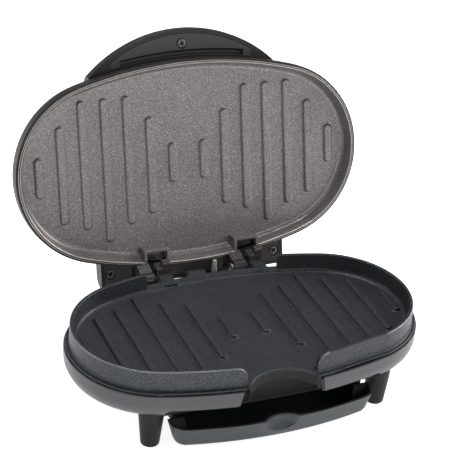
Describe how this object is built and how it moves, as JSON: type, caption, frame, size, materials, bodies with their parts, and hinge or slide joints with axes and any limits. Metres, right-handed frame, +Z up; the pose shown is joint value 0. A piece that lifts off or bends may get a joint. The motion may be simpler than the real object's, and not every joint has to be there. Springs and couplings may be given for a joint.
{
  "type": "electric contact grill",
  "caption": "Oval indoor contact grill standing open: ribbed non-stick plates, floating rear hinge, crescent handle, front grease spout over a pull-out drip tray, on feet.",
  "frame": {"origin": "on the worktop under the feet, below the middle of the whole grill with its lid open, 49.56 mm behind the centre of the oval lower plate", "axes": "+X to the user's right along the oval's length, +Y to the back where the hinge is, +Z up; the lid stands open as in the picture"},
  "size_m": [0.311, 0.2738, 0.2476],
  "materials": {
    "housing_plastic": "satin",
    "lid_plastic": "satin",
    "cover_plastic": "matt",
    "foot_plastic": "satin",
    "tray_plastic": "satin",
    "nonstick_lid": "speckled non-stick",
    "nonstick_base": "speckled non-stick",
    "element_sheath": "oxidised",
    "sheet_metal": "mill",
    "steel": "satin",
    "dark_steel": "blackened",
    "ceramic": "matt",
    "rubber_black": "matt",
    "sleeve_braid": "glass braid",
    "lens_red": "gloss",
    "fuse_metal": "satin"
  },
  "bodies": {
    "base": {"base_housing": "housing_plastic", "base_cover": "cover_plastic", "lower_grill_plate": "nonstick_base", "lower_heating_element": "element_sheath", "lower_reflector": "sheet_metal", "lower_element_clamp": "steel", "thermostat": "ceramic", "thermal_fuse": "fuse_metal", "terminal_block": "ceramic", "cord_gland": "rubber_black", "foot_front_left": "foot_plastic", "foot_front_right": "foot_plastic", "foot_rear_left": "foot_plastic", "foot_rear_right": "foot_plastic", "pad_front_left": "rubber_black", "pad_front_right": "rubber_black", "pad_rear_left": "rubber_black", "pad_rear_right": "rubber_black", "base_cover_screws": "steel", "lower_plate_screws": "steel", "wire_sleeve_lower": "sleeve_braid"},
    "hinge_pins": {"hinge_pin_left": "steel", "hinge_pin_right": "steel"},
    "lid": {"lid_shell": "lid_plastic", "upper_grill_plate": "nonstick_lid", "upper_heating_element": "element_sheath", "upper_reflector": "sheet_metal", "upper_element_clamp": "steel", "lid_rear_cover": "cover_plastic", "rear_cover_screws": "dark_steel", "upper_plate_screws": "steel", "handle_grip": "lid_plastic", "handle_screw": "dark_steel", "indicator_lens": "lens_red", "wire_sleeve_upper": "sleeve_braid"},
    "tray": {"drip_tray": "tray_plastic"}
  },
  "joints": [
    {"name": "hinge_float", "type": "slide", "parent": "base", "child": "hinge_pins", "axis": [0, 0, 1], "range_m": [0, 0.007]},
    {"name": "lid_hinge", "type": "hinge", "parent": "hinge_pins", "child": "lid", "pos_m": [0, 0.04594, 0.0523], "axis": [1, 0, 0], "range_deg": [0, 105]},
    {"name": "tray_slide", "type": "slide", "parent": "base", "child": "tray", "axis": [0, -1, 0], "range_m": [0, 0.11]}
  ]
}
